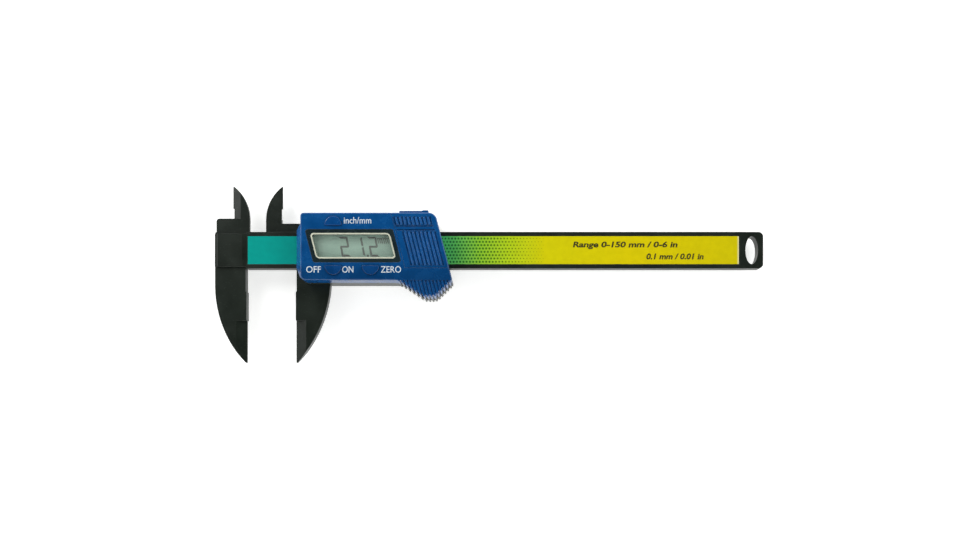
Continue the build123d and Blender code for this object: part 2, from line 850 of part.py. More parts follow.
def make_button(name):
    """A key with a D-shaped cap, two ears under the shell and a stem over its dome."""
    x, y, side = button_middle(name)
    ear_top = shell_inside - cover_fit
    cap = raised(button_face(name, 0), (ear_top - button_ear_thickness, shell_top + button_proud))
    cap = fillet(cap.faces().sort_by(Axis.Z)[-1].edges(), button_rounding)
    middle = y + side * button_height * button_stem_share
    reach = button_width / 2 + button_ear
    ear_y = (middle - button_ear_height / 2, middle + button_ear_height / 2)
    ears = block((x - reach, x + reach), ear_y, (ear_top - button_ear_thickness, ear_top))
    stem_z = (board_front + dome_height + button_travel + button_stem_gap, ear_top)
    return cap + ears + rod((x, middle), button_stem_radius, stem_z)


def contact_domes():
    """Three thin snap domes on the board, one under each button."""
    domes = []
    ball = (dome_radius ** 2 + dome_height ** 2) / (2 * dome_height)
    for name in button_places:
        x, y, side = button_middle(name)
        middle = y + side * button_height * button_stem_share
        centre = Pos(x, middle, board_front + dome_height - ball)
        shell = centre * Sphere(ball) - centre * Sphere(ball - dome_sheet)
        keep = rod((x, middle), dome_radius, (board_front, board_front + past))
        domes.append(shell & keep)
    return domes


nodes = {
    "beam": make_beam(),
    "scale_board": make_scale_board(),
    "scale_label": make_scale_label(),
    "slider_frame": make_slider_frame(),
    "back_cover": make_back_cover(),
    "back_cover_screws": Compound(back_cover_screws()),
    "gib_spring": make_gib_spring(),
    "front_housing": make_front_housing(),
    "housing_screws": Compound(housing_screws()),
    "lcd_bezel": make_lcd_bezel(),
    "lcd_window": make_lcd_window(),
    "lcd_panel": make_lcd_panel(),
    "zebra_strip": make_zebra_strip(),
    "main_board": make_main_board(),
    "controller_chip": make_controller_chip(),
    "board_screws": Compound(board_screws()),
    "contact_domes": Compound(contact_domes()),
    "battery": make_battery(),
    "battery_contact_plus": make_battery_contact_plus(),
    "battery_contact_minus": make_battery_contact_minus(),
    "battery_cover": make_battery_cover(),
}
for button_name in button_places:
    nodes[button_name] = make_button(button_name)

os.makedirs("parts", exist_ok=True)
for node_name, shape in nodes.items():
    export_step(shape, "parts/" + node_name + ".step")
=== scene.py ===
import bpy
import bmesh
from math import radians, tan, cos, sin, pi
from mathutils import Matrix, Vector


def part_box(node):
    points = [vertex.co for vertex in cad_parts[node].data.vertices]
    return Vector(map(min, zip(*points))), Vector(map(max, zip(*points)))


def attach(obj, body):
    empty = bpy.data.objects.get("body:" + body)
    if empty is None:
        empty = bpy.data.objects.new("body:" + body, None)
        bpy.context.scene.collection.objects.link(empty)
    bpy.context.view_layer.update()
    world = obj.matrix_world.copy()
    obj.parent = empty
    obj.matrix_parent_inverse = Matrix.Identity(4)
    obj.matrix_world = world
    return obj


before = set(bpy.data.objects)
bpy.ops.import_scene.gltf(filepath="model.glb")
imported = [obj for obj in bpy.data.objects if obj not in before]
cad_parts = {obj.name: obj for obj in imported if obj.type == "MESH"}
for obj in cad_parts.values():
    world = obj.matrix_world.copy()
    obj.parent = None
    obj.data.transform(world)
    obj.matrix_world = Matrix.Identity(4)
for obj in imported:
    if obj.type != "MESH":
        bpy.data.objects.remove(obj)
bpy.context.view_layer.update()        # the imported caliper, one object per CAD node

mm = 0.001               # sizes below are in millimetres, the scene is in metres
slant = tan(radians(14.3))    # lean of the slider's end, its display and its ribs
middling = (0.3, 0.7)    # noise seldom leaves this part of its range
print("frame loaded")


def toLinear(code):
    channels = [int(code[i:i + 2], 16) / 255 for i in (0, 2, 4)]
    return [c / 12.92 if c <= 0.04045 else ((c + 0.055) / 1.055) ** 2.4 for c in channels] + [1.0]


def addNode(tree, kind, settings=None, inputs=None):
    node = tree.nodes.new(kind)
    for key, value in (settings or {}).items():
        setattr(node, key, value)
    for key, value in (inputs or {}).items():
        if isinstance(value, bpy.types.NodeSocket):
            tree.links.new(value, node.inputs[key])
        else:
            node.inputs[key].default_value = value
    return node


def startMaterial(name, sockets):
    material = bpy.data.materials.new(name)
    material.use_nodes = True
    tree = material.node_tree
    tree.nodes.clear()
    shader = addNode(tree, "ShaderNodeBsdfPrincipled", None, sockets)
    addNode(tree, "ShaderNodeOutputMaterial", None, {"Surface": shader.outputs["BSDF"]})
    place = addNode(tree, "ShaderNodeTexCoord").outputs["Object"]
    return material, tree, shader, place


def ramp(tree, factor, stops):
    node = addNode(tree, "ShaderNodeValToRGB", None, {"Fac": factor})
    elements = node.color_ramp.elements
    while len(elements) < len(stops):
        elements.new(0.5)
    for element, (position, colour) in zip(elements, stops):
        element.position = position
        element.color = colour
    return node.outputs["Color"]


def roundEdges(tree, shader, place, look):
    # moulded edges are never sharp: a small radius in the normal, then the grain of the tool's face
    edge = addNode(tree, "ShaderNodeBevel", {"samples": 4}, {"Radius": look["edge"] * mm})
    grainRelief = 0.25    # depth of the grain as a share of its size
    grain = addNode(tree, "ShaderNodeTexNoise", None, {
        "Vector": place, "Scale": 1 / (look["grain"] * mm), "Detail": 3.0})
    bump = addNode(tree, "ShaderNodeBump", None, {
        "Strength": look["grainDepth"], "Distance": look["grain"] * mm * grainRelief,
        "Height": grain.outputs["Fac"], "Normal": edge.outputs["Normal"]})
    tree.links.new(bump.outputs["Normal"], shader.inputs["Normal"])
    return edge.outputs["Normal"]


def edgeWearAndHighlight(tree, rounded, place, look):
    # edges show a little paler, unevenly, where the rounded normal leaves the flat one: partly worn, partly a
    # painted highlight
    fullWearAndHighlight = 0.8    # cosine between the two normals at which the pale edge is full
    flat = addNode(tree, "ShaderNodeNewGeometry").outputs["Normal"]
    dot = addNode(tree, "ShaderNodeVectorMath", {"operation": "DOT_PRODUCT"}, {0: rounded, 1: flat})
    drop = addNode(tree, "ShaderNodeMapRange", None, {
        "Value": dot.outputs["Value"], "From Min": 1.0, "From Max": fullWearAndHighlight, "To Max": look["wearAndHighlight"]})
    patches = addNode(tree, "ShaderNodeTexNoise", None, {
        "Vector": place, "Scale": 1 / (look["wearSize"] * mm), "Detail": 2.0})
    both = addNode(tree, "ShaderNodeMath", {"operation": "MULTIPLY", "use_clamp": True}, {
        0: drop.outputs["Result"], 1: patches.outputs["Fac"]})
    return both.outputs["Value"]


def paintedShadeByHeight(tree, place, colour, paintedShadeBands):
    # painted shade: the colour is darker in zones along Y, darkest just above the bottom edge where shade
    # falls, a little lighter towards the top where light falls; each zone is a place in mm and a brightness
    low, high = paintedShadeBands[0][0], paintedShadeBands[-1][0]
    along = addNode(tree, "ShaderNodeSeparateXYZ", None, {"Vector": place})
    share = addNode(tree, "ShaderNodeMapRange", None, {
        "Value": along.outputs["Y"], "From Min": low * mm, "From Max": high * mm})
    stops = [((y - low) / (high - low), [bright, bright, bright, 1.0]) for y, bright in paintedShadeBands]
    shade = addNode(tree, "ShaderNodeVectorMath", {"operation": "MULTIPLY"}, {
        0: colour, 1: ramp(tree, share.outputs["Result"], stops)})
    return shade.outputs["Vector"]


def mouldedPlastic(name, look):
    # injection moulded plastic: satin face, faint flow clouds, fine spark-eroded grain, paler worn edges that
    # double as a painted highlight, and painted shade along Y where the look asks for it
    material, tree, shader, place = startMaterial(name, {
        "Roughness": look["rough"], "IOR": look["ior"], "Coat Weight": look["coat"], "Coat Roughness": 0.25})
    clouds = addNode(tree, "ShaderNodeTexNoise", None, {
        "Vector": place, "Scale": 1 / (look["cloud"] * mm), "Detail": 4.0, "Roughness": 0.6})
    colour = ramp(tree, clouds.outputs["Fac"], [
        (middling[0], toLinear(look["dark"])), (middling[1], toLinear(look["light"]))])
    rounded = roundEdges(tree, shader, place, look)
    # paler edges, partly worn and partly a painted highlight
    wornAndHighlighted = addNode(tree, "ShaderNodeMix", {"data_type": "RGBA"}, {
        "Factor": edgeWearAndHighlight(tree, rounded, place, look), "A": colour, "B": toLinear(look["paleWearAndHighlight"])})
    finished = wornAndHighlighted.outputs["Result"]
    # painted shade: darker zones along Y
    if look.get("paintedShadeBands"):
        finished = paintedShadeByHeight(tree, place, finished, look["paintedShadeBands"])
    tree.links.new(finished, shader.inputs["Base Color"])
    gloss = addNode(tree, "ShaderNodeMapRange", None, {
        "Value": clouds.outputs["Fac"], "From Min": middling[0], "From Max": middling[1],
        "To Min": look["rough"] - 0.04, "To Max": look["rough"] + 0.05})
    tree.links.new(gloss.outputs["Result"], shader.inputs["Roughness"])
    return material


def fibreComposite(name, look):
    # carbon-filled nylon: near black, satin, with short pale fibres just under the skin
    material = mouldedPlastic(name, look)
    tree = material.node_tree
    shader = next(n for n in tree.nodes if n.type == "BSDF_PRINCIPLED")
    place = next(n for n in tree.nodes if n.type == "TEX_COORD").outputs["Object"]
    stretched = addNode(tree, "ShaderNodeMapping", None, {"Vector": place, "Scale": look["fibreStretch"]})
    specks = addNode(tree, "ShaderNodeTexVoronoi", None, {
        "Vector": stretched.outputs["Vector"], "Scale": 1 / (look["fibre"] * mm)})
    rim, heart = look["fibreFade"]
    mask = addNode(tree, "ShaderNodeMapRange", None, {
        "Value": specks.outputs["Distance"], "From Min": rim, "From Max": heart,
        "To Max": look["fibreShow"]})
    below = shader.inputs["Base Color"].links[0].from_socket
    # the fibres take the same pale tone as the worn, highlighted edges
    mixed = addNode(tree, "ShaderNodeMix", {"data_type": "RGBA"}, {
        "Factor": mask.outputs["Result"], "A": below, "B": toLinear(look["paleWearAndHighlight"])})
    tree.links.new(mixed.outputs["Result"], shader.inputs["Base Color"])
    return material


def rolledMetal(name, look):
    # rolled or plated sheet: long faint streaks, brightness that drifts from spot to spot
    material, tree, shader, place = startMaterial(name, {"Metallic": 1.0, "Roughness": look["rough"]})
    along = addNode(tree, "ShaderNodeMapping", None, {"Vector": place, "Scale": look["stretch"]})
    streaks = addNode(tree, "ShaderNodeTexNoise", None, {
        "Vector": along.outputs["Vector"], "Scale": 1 / (look["streak"] * mm), "Detail": 4.0})
    colour = ramp(tree, streaks.outputs["Fac"], [
        (middling[0], toLinear(look["dark"])), (middling[1], toLinear(look["light"]))])
    tree.links.new(colour, shader.inputs["Base Color"])
    bump = addNode(tree, "ShaderNodeBump", None, {
        "Strength": 0.15, "Distance": 0.01 * mm, "Height": streaks.outputs["Fac"]})
    tree.links.new(bump.outputs["Normal"], shader.inputs["Normal"])
    return material


def paint(name, look):
    # pad-printed ink: matt, slightly uneven cover
    material, tree, shader, place = startMaterial(name, {"Roughness": look["rough"], "IOR": 1.48})
    cover = addNode(tree, "ShaderNodeTexNoise", None, {
        "Vector": place, "Scale": 1 / (look["mottle"] * mm), "Detail": 5.0})
    colour = ramp(tree, cover.outputs["Fac"], [
        (0.25, toLinear(look["dark"])), (0.75, toLinear(look["light"]))])
    tree.links.new(colour, shader.inputs["Base Color"])
    return material


def printedFilm(name, look):
    # glossy printed polyester whose colour runs along the strip; each colour is a place along X in mm and a hex
    material, tree, shader, place = startMaterial(name, {
        "Roughness": 0.27, "IOR": 1.48})
    along = addNode(tree, "ShaderNodeSeparateXYZ", None, {"Vector": place})
    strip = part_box("scale_label")
    share = addNode(tree, "ShaderNodeMapRange", None, {
        "Value": along.outputs["X"], "From Min": strip[0][0], "From Max": strip[1][0]})
    length = (strip[1][0] - strip[0][0]) / mm
    stops = [((x - strip[0][0] / mm) / length, toLinear(code)) for x, code in look["colours"]]
    colour = ramp(tree, share.outputs["Result"], stops)
    mottle = addNode(tree, "ShaderNodeTexNoise", None, {
        "Vector": place, "Scale": 1 / (look["mottle"] * mm), "Detail": 4.0})
    uneven = addNode(tree, "ShaderNodeMapRange", None, {
        "Value": mottle.outputs["Fac"], "From Min": middling[0], "From Max": middling[1],
        "To Min": 0.96, "To Max": 1.04})
    shade = addNode(tree, "ShaderNodeVectorMath", {"operation": "SCALE"}, {
        0: colour, "Scale": uneven.outputs["Result"]})
    tree.links.new(shade.outputs["Vector"], shader.inputs["Base Color"])
    return material


def clearAcrylic(name, look):
    # clear pane: almost nothing but its shine and a trace of dust
    material, tree, shader, place = startMaterial(name, {
        "Base Color": toLinear(look["tint"]), "Roughness": look["rough"], "IOR": 1.49, "Alpha": look["dusty"]})
    dust = addNode(tree, "ShaderNodeTexNoise", None, {
        "Vector": place, "Scale": 1 / (look["dust"] * mm), "Detail": 6.0})
    alpha = addNode(tree, "ShaderNodeMapRange", None, {
        "Value": dust.outputs["Fac"], "From Min": 0.45, "From Max": 0.8,
        "To Min": look["clean"], "To Max": look["dusty"]})
    tree.links.new(alpha.outputs["Result"], shader.inputs["Alpha"])
    return material


def dress(names, material):
    for name in names:
        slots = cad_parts[name].data.materials
        slots.clear()
        slots.append(material)


def meshPiece(name, points, faces, material, body):
    mesh = bpy.data.meshes.new(name)
    mesh.from_pydata([Vector(p) * mm for p in points], [], faces)
    mesh.update()
    return finishPiece(name, mesh, material, body)


def finishPiece(name, mesh, material, body):
    piece = bpy.data.objects.new(name, mesh)
    bpy.context.collection.objects.link(piece)
    mesh.materials.clear()
    mesh.materials.append(material)
    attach(piece, body)
    return piece


def prism(outline, low, high, points, faces):
    # adds an upright prism with a counter-clockwise outline to the two lists
    first = len(points)
    count = len(outline)
    points += [(x, y, low) for x, y in outline] + [(x, y, high) for x, y in outline]
    faces.append([first + i for i in reversed(range(count))])
    faces.append([first + count + i for i in range(count)])
    for i in range(count):
        j = (i + 1) % count
        faces.append([first + i, first + j, first + count + j, first + count + i])


def roundedSlant(x, y, width, height, radius, steps=6):
    # a parallelogram that leans with the slider, corners rounded, counter-clockwise
    outline = []
    for corner, (sideX, sideY) in enumerate([(1, 1), (-1, 1), (-1, -1), (1, -1)]):
        centreX = sideX * (width / 2 - radius)
        centreY = sideY * (height / 2 - radius)
        for step in range(steps + 1):
            angle = (corner + step / steps) * pi / 2
            px = centreX + radius * cos(angle)
            py = centreY + radius * sin(angle)
            outline.append((x + px - py * slant, y + py))
    return outline


# each finish starts from what the real one is; sizes in millimetres, colours in sRGB hex
blackLook = {"dark": "121913", "light": "1a221b", "paleWearAndHighlight": "465048", "rough": 0.36, "ior": 1.48, "coat": 0.0,
             "cloud": 9, "edge": 0.2, "grain": 0.35, "grainDepth": 0.16, "wearAndHighlight": 0.5, "wearSize": 4,
             "fibre": 0.8, "fibreShow": 0.3, "fibreStretch": (0.35, 1.0, 1.0), "fibreFade": (0.22, 0.05)}
blueLook = {"dark": "004179", "light": "034f8d", "paleWearAndHighlight": "2272ae", "rough": 0.26, "ior": 1.48, "coat": 0.0,
            "cloud": 7, "edge": 0.25, "grain": 0.3, "grainDepth": 0.12, "wearAndHighlight": 0.35, "wearSize": 3,
            # the blue's zones along Y are painted shade, darkest just above the bottom edge, a little lighter
            # at the top
            "paintedShadeBands": [(-12, 1.0), (-5, 0.95), (-4, 0.66), (-1, 0.72), (4, 0.96), (14, 1.0), (26, 1.08)]}
keyLook = dict(blueLook, dark="003c74", light="024a8a", wearAndHighlight=0.1, edge=0.15)
# the ribs are a lighter copy of the blue with stronger pale edges: a painted highlight on their lit tops
ribHighlightLook = dict(blueLook, dark="014c88", light="06579a", paleWearAndHighlight="3a86bd", wearAndHighlight=0.6)
bezelLook = dict(blueLook, dark="142226", light="1b2c30", paleWearAndHighlight="3a484c", rough=0.28, grainDepth=0.06,
                 paintedShadeBands=None)
chipLook = dict(blackLook, dark="101112", light="191a1b", rough=0.55)
rubberLook = dict(blackLook, dark="6b6e70", light="8b8e90", paleWearAndHighlight="a0a3a5", rough=0.7)
boardLook = dict(blueLook, dark="0d3d22", light="14502d", paleWearAndHighlight="5c7a45", rough=0.3, paintedShadeBands=None)

blackComposite = fibreComposite("carbon-filled nylon, moulded", blackLook)
blueShell = mouldedPlastic("blue ABS, moulded", blueLook)
blueKey = mouldedPlastic("blue ABS key, moulded", keyLook)
# painted highlight: the ribs' lighter blue
ribPaintedHighlight = mouldedPlastic("blue ABS, painted lighter as a highlight on the ribs", ribHighlightLook)
bezelPlastic = mouldedPlastic("black ABS bezel, polished mould", bezelLook)
chipResin = mouldedPlastic("epoxy chip resin", chipLook)
elastomer = mouldedPlastic("silicone elastomer strip", rubberLook)
solderMask = mouldedPlastic("glass laminate with solder mask", boardLook)
zincSteel = rolledMetal("zinc plated steel", {
    "dark": "8d9093", "light": "b9bcbf", "rough": 0.35, "streak": 1.2, "stretch": (1, 1, 1)})
springBronze = rolledMetal("phosphor bronze strip", {
    "dark": "a9763d", "light": "c99a5c", "rough": 0.3, "streak": 2, "stretch": (0.2, 1, 1)})
nickelSteel = rolledMetal("nickel plated steel", {
    "dark": "b3b3b1", "light": "d2d2cf", "rough": 0.24, "streak": 3, "stretch": (1, 1, 0.3)})
whiteInk = paint("white pad-print ink", {"dark": "c6d1d8", "light": "e6eef2", "rough": 0.5, "mottle": 0.5})
oliveInk = paint("dark olive screen ink", {"dark": "37340a", "light": "48440e", "rough": 0.45, "mottle": 0.6})
creamTrim = paint("cream printed trim", {"dark": "c0c3ad", "light": "d2d5c2", "rough": 0.35, "mottle": 1.0})
liquidCrystal = paint("grey-green display glass", {
    "dark": "8fb29f", "light": "9abcaa", "rough": 0.3, "mottle": 6})
crystalInk = paint("dark display segments", {
    "dark": "3f4b41", "light": "4a564c", "rough": 0.4, "mottle": 1.2})
paleCrystalInk = paint("pale display segments", {
    "dark": "566759", "light": "627365", "rough": 0.4, "mottle": 1.2})
# teal at the jaws, green at the slider, then lime into yellow; the green beside the slider is painted brighter
# against the slider's shadow, and the pale cut end is a painted highlight on the film's edge
labelFilm = printedFilm("printed polyester strip", {"mottle": 2.5, "colours": [
    (-103.8, "009e92"), (-60, "009e92"), (-24, "3cc47c"), (-14, "64c85e"), (-4, "92cc34"), (8, "b4d21e"),
    (24, "d6cf06"), (60, "dccb02"), (107.1, "d3c502"), (107.4, "e6e4b4")]})
dotInk = printedFilm("dark green screen ink", {"mottle": 1.5, "colours": [
    (-103.8, "0e6e42"), (-24, "0a6840"), (-4, "347418"), (10, "6a8206"), (24, "a09c04"), (107.5, "a09c04")]})
window = clearAcrylic("clear acrylic pane", {
    "tint": "e8efe9", "rough": 0.06, "dust": 0.8, "clean": 0.07, "dusty": 0.12})

dress(["beam", "slider_frame", "back_cover"], blackComposite)
dress(["front_housing", "battery_cover"], blueShell)
dress(["unit_button", "power_button", "zero_button"], blueKey)
dress(["lcd_bezel"], bezelPlastic)
dress(["lcd_window"], window)
dress(["lcd_panel"], liquidCrystal)
dress(["scale_label"], labelFilm)
dress(["scale_board", "main_board"], solderMask)
dress(["controller_chip"], chipResin)
dress(["zebra_strip"], elastomer)
dress(["back_cover_screws", "housing_screws", "board_screws"], zincSteel)
dress(["contact_domes", "battery"], nickelSteel)
dress(["gib_spring", "battery_contact_plus", "battery_contact_minus"], springBronze)
print("finishes done")


# the display: a printed trim line round the view, the segments of the reading and the unit
view = {"width": 32.3, "height": 9.5, "line": 0.62, "proud": 0.1, "radius": 1.0}
trimSection = [(0.0, -0.3), (0.0, 0.4), (0.25, 1.0), (0.75, 1.0), (1.0, 0.4), (1.0, -0.3)]
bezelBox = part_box("lcd_bezel")
bezelX = (bezelBox[0][0] + bezelBox[1][0]) / 2 / mm
bezelY = (bezelBox[0][1] + bezelBox[1][1]) / 2 / mm
shellTop = bezelBox[1][2] / mm


def makeTrim():
    # a ring whose section is given in shares of the line's width and of how far it stands proud
    inner = roundedSlant(bezelX, bezelY, view["width"], view["height"], view["radius"])
    rings = []
    for share, rise in trimSection:
        grow = share * view["line"] * 2
        size = (view["width"] + grow, view["height"] + grow)
        outline = roundedSlant(bezelX, bezelY, *size, view["radius"] + grow / 2)
        rings.append([(x, y, shellTop + rise * view["proud"]) for x, y in outline])
    count = len(inner)
    points = [p for ring in rings for p in ring]
    faces = []
    for r in range(len(rings)):
        following = (r + 1) % len(rings)
        for i in range(count):
            j = (i + 1) % count
            faces.append([following * count + i, following * count + j, r * count + j, r * count + i])
    return meshPiece("displayTrim", points, faces, creamTrim, "slider_body")


digit = {"width": 3.9, "height": 8.4, "stroke": 0.85, "lean": 11, "gap": 0.06, "thick": 0.03,
         "left": -63.7, "low": 6.1, "pitch": 6.05, "point": 0.85, "pointBack": 1.1}
segmentsOf = {"1": "bc", "2": "abged"}
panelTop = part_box("lcd_panel")[1][2] / mm
inkLevels = (panelTop + 0.005, panelTop + digit["thick"])


def segmentOutline(name):
    # one bar of a seven-bar digit with mitred ends, in the digit's own upright box
    w, h, s, g = digit["width"], digit["height"], digit["stroke"], digit["gap"]
    half = h / 2
    bars = {"a": (0, h, w, h), "g": (0, half, w, half), "d": (0, 0, w, 0),
            "b": (w, half, w, h), "c": (w, 0, w, half), "e": (0, 0, 0, half)}
    x0, y0, x1, y1 = bars[name]
    if y0 == y1:
        inward = {"a": -1, "d": 1}.get(name, 0)
        if inward:
            edge, deep = y0, y0 + inward * s
            outline = [(x0 + g, edge), (x1 - g, edge), (x1 - s - g, deep), (x0 + s + g, deep)]
            return outline if inward > 0 else outline[::-1]
        cut = s / 2
        return [(x0 + g, y0), (x0 + cut + g, y0 - cut), (x1 - cut - g, y0 - cut),
                (x1 - g, y0), (x1 - cut - g, y0 + cut), (x0 + cut + g, y0 + cut)]
    side = 1 if x0 == 0 else -1
    edge, deep = x0, x0 + side * s
    lowCut = s if y0 == 0 else s / 2
    highCut = s if y1 == h else s / 2
    outline = [(edge, y0 + g), (edge, y1 - g), (deep, y1 - highCut - g), (deep, y0 + lowCut + g)]
    return outline[::-1] if side > 0 else outline


def lean(outline, left, low):
    shift = tan(radians(digit["lean"]))
    return [(left + x - y * shift + digit["height"] * shift, low + y) for x, y in outline]


def makeDigits():
    points, faces = [], []
    for place, figure in enumerate("212"):
        for name in segmentsOf[figure]:
            outline = lean(segmentOutline(name), digit["left"] + place * digit["pitch"], digit["low"])
            prism(outline, *inkLevels, points, faces)
    half = digit["point"] / 2
    point = [(-half, 0), (half, 0), (half, 2 * half), (-half, 2 * half)]
    pointLeft = digit["left"] + 2 * digit["pitch"] - digit["pointBack"]
    prism(lean(point, pointLeft, digit["low"]), *inkLevels, points, faces)
    return meshPiece("displayDigits", points, faces, crystalInk, "slider_body")


unitMark = {"left": -46.7, "low": 11.6, "height": 2.3, "width": 2.0, "gap": 0.45, "stroke": 0.42}


def makeUnitMark():
    # each m is three legs under one bar
    points, faces = [], []
    u = unitMark
    for letter in range(2):
        start = letter * (u["width"] + u["gap"])
        legs = [start + share * (u["width"] - u["stroke"]) for share in (0, 0.5, 1)]
        bars = [(leg, 0, leg + u["stroke"], u["height"]) for leg in legs]
        bars.append((start, u["height"] - u["stroke"], start + u["width"], u["height"]))
        for x0, y0, x1, y1 in bars:
            outline = [(x0, y0), (x1, y0), (x1, y1), (x0, y1)]
            leaning = [(u["left"] + x - y * slant, u["low"] + y) for x, y in outline]
            prism(leaning, *inkLevels, points, faces)
    return meshPiece("displayUnit", points, faces, paleCrystalInk, "slider_body")


makeTrim()
makeDigits()
makeUnitMark()
print("display done")


printThick = 0.03


def makeText(name, words, place, z, material, body, shear=0.0, weight=0.0):
    # text as a flat mesh, stretched to the left, low, width and height it has on the object
    left, low, width, height = place
    curve = bpy.data.curves.new(name, "FONT")
    curve.body = words
    curve.extrude = 0.5
    curve.offset = weight
    curve.resolution_u = 4
    holder = bpy.data.objects.new(name + "Curve", curve)
    bpy.context.collection.objects.link(holder)
    mesh = bpy.data.meshes.new_from_object(holder.evaluated_get(bpy.context.evaluated_depsgraph_get()))
    bpy.data.objects.remove(holder)
    firstX = min(v.co.x for v in mesh.vertices)
    lastX = max(v.co.x for v in mesh.vertices)
    tall = max(v.co.y for v in mesh.vertices)
    for v in mesh.vertices:
        x = (v.co.x - firstX) / (lastX - firstX) * width
        y = v.co.y / tall * height
        v.co = Vector((left + x + y * shear, low + y, z + (v.co.z + 0.5) * printThick)) * mm
    cleaned = bmesh.new()
    cleaned.from_mesh(mesh)
    bmesh.ops.remove_doubles(cleaned, verts=cleaned.verts, dist=1e-7)
    cleaned.to_mesh(mesh)
    cleaned.free()
    mesh.name = name
    return finishPiece(name, mesh, material, body)


# each legend is its words, left end, foot and width
legendTall = 2.7
keyWords = {"legendUnit": ("inch/mm", -60.9, 19.6, 11.5), "legendOff": ("OFF", -76.7, -1.0, 6.2),
            "legendOn": ("ON", -61.6, -1.0, 4.7), "legendZero": ("ZERO", -45.4, -1.0, 8.5)}
for name, (words, left, low, width) in keyWords.items():
    place = (left, low, width, legendTall)
    makeText(name, words, place, shellTop, whiteInk, "slider_body", weight=0.004)

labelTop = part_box("scale_label")[1][2] / mm
rangeWords = {"rangeMetric": ("Range 0-150 mm / 0-6 in", (36.1, 11.55, 44.8, 2.45)),
              "rangeStep": ("0.1 mm / 0.01 in", (67.5, 6.4, 24.6, 2.45))}
for name, (words, place) in rangeWords.items():
    makeText(name, words, place, labelTop, oliveInk, "beam_body", shear=0.2, weight=0.03)
print("words done")


# what repeats is grown by geometry nodes: the raised ribs of the battery cover and the dots of the strip

def startTree(name, sockets):
    tree = bpy.data.node_groups.new(name, "GeometryNodeTree")
    tree.interface.new_socket("Geometry", in_out="OUTPUT", socket_type="NodeSocketGeometry")
    for label, kind in sockets.items():
        tree.interface.new_socket(label, in_out="INPUT", socket_type=kind)
    return tree, addNode(tree, "NodeGroupInput")


def endTree(tree, geometry, material):
    solid = addNode(tree, "GeometryNodeRealizeInstances", None, {"Geometry": geometry})
    painted = addNode(tree, "GeometryNodeSetMaterial", None, {
        "Geometry": solid.outputs["Geometry"], "Material": material})
    out = addNode(tree, "NodeGroupOutput")
    tree.links.new(painted.outputs["Geometry"], out.inputs["Geometry"])


def growPiece(name, tree, values, material, body):
    # the tree runs once on an empty mesh and its result becomes a plain mesh
    holder = bpy.data.objects.new(name + "Holder", bpy.data.meshes.new(name + "Holder"))
    bpy.context.collection.objects.link(holder)
    modifier = holder.modifiers.new("grow", "NODES")
    modifier.node_group = tree
    identifiers = {item.name: item.identifier for item in tree.interface.items_tree if item.in_out == "INPUT"}
    for label, value in values.items():
        modifier[identifiers[label]] = value
    mesh = bpy.data.meshes.new_from_object(holder.evaluated_get(bpy.context.evaluated_depsgraph_get()))
    bpy.data.objects.remove(holder)
    mesh.name = name
    return finishPiece(name, mesh, material, body)


def ribTree(material):
    # a row of round-backed ribs that lean with the slider
    tree, inputs = startTree("leaning ribs", {
        "Count": "NodeSocketInt", "Start": "NodeSocketVector", "Step": "NodeSocketVector",
        "Run": "NodeSocketVector", "Radius": "NodeSocketFloat"})
    spine = addNode(tree, "GeometryNodeCurvePrimitiveLine", None, {"End": inputs.outputs["Run"]})
    section = addNode(tree, "GeometryNodeCurvePrimitiveCircle", None, {
        "Resolution": 16, "Radius": inputs.outputs["Radius"]})
    bar = addNode(tree, "GeometryNodeCurveToMesh", None, {
        "Curve": spine.outputs["Curve"], "Profile Curve": section.outputs["Curve"], "Fill Caps": True})
    row = addNode(tree, "GeometryNodeMeshLine", None, {
        "Count": inputs.outputs["Count"], "Start Location": inputs.outputs["Start"],
        "Offset": inputs.outputs["Step"]})
    spread = addNode(tree, "GeometryNodeInstanceOnPoints", None, {
        "Points": row.outputs["Mesh"], "Instance": bar.outputs["Mesh"]})
    endTree(tree, spread.outputs["Instances"], material)
    return tree


ribs = {"pitch": 1.68, "radius": 0.55, "sink": 0.43}
ribRows = {"coverRibs": {"fromDisplay": 22.45, "low": 2.2, "high": 16.1, "count": 8},
           "coverTopRibs": {"fromDisplay": 20.2, "low": 19.2, "high": 22.3, "count": 9}}
ribNodes = ribTree(ribPaintedHighlight)


def growRibs(name, row):
    # the first rib stands half a pitch right of the first groove
    left = bezelX + row["fromDisplay"] + ribs["pitch"] / 2 - (row["low"] - bezelY) * slant
    tall = row["high"] - row["low"]
    values = {"Count": row["count"], "Radius": ribs["radius"] * mm,
              "Start": Vector((left, row["low"], shellTop - ribs["sink"])) * mm,
              "Step": Vector((ribs["pitch"] * mm, 0, 0)),
              "Run": Vector((-tall * slant, tall, 0)) * mm}
    return growPiece(name, ribNodes, values, ribPaintedHighlight, "battery_cover_body")


for name, row in ribRows.items():
    growRibs(name, row)


dots = {"pitch": 1.4, "row": 1.43, "rows": 8, "columns": 40, "start": -32.0, "radius": 0.47, "thick": 0.012,
        "sides": 10, "leftSize": 0.15, "fullFrom": -0.6, "rightSize": 0.2}


